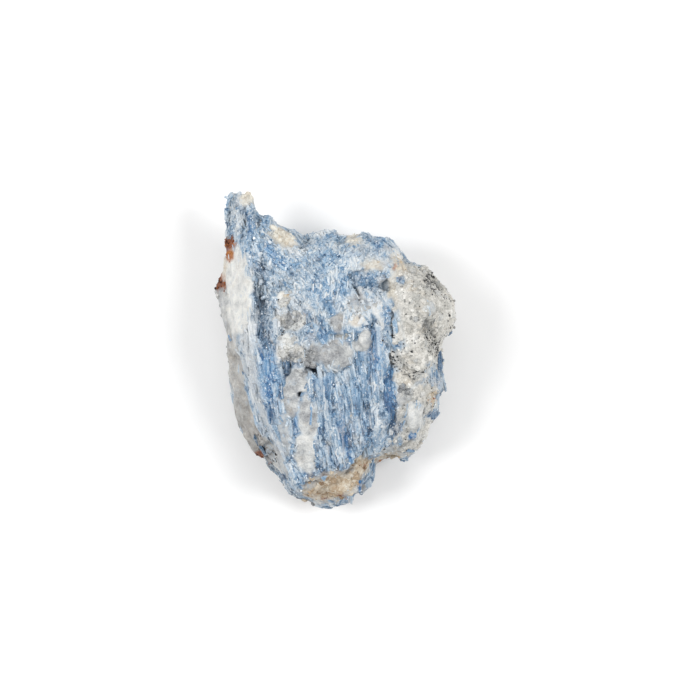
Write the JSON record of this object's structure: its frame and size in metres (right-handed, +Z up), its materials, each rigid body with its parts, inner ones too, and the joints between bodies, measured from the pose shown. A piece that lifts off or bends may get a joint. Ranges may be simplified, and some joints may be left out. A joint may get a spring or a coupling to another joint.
{
  "type": "kyanite blade cluster",
  "caption": "Palm-sized natural cluster of intergrown blue kyanite blades with milky quartz and granular mica-quartz rock; rests on its broken underside.",
  "frame": {"origin": "under the middle of the bounding box, on the flat that the piece rests on", "axes": "+Y along the blades towards the prong, +X towards the granular rock, +Z up out of the bladed face"},
  "size_m": [0.076, 0.1, 0.0421],
  "materials": {
    "kyanite": "bladed, pearly to glassy, pale to deep blue with white streaks",
    "quartz": "milky to grey, glassy conchoidal breaks, slightly see-through",
    "matrix": "matt granular quartz and mica rock with dark specks",
    "feldspar": "matt cream to tan grains",
    "mica": "dark flakes with a pearly glint"
  },
  "bodies": {
    "root": {"kyanite_cluster": "kyanite"}
  },
  "joints": []
}
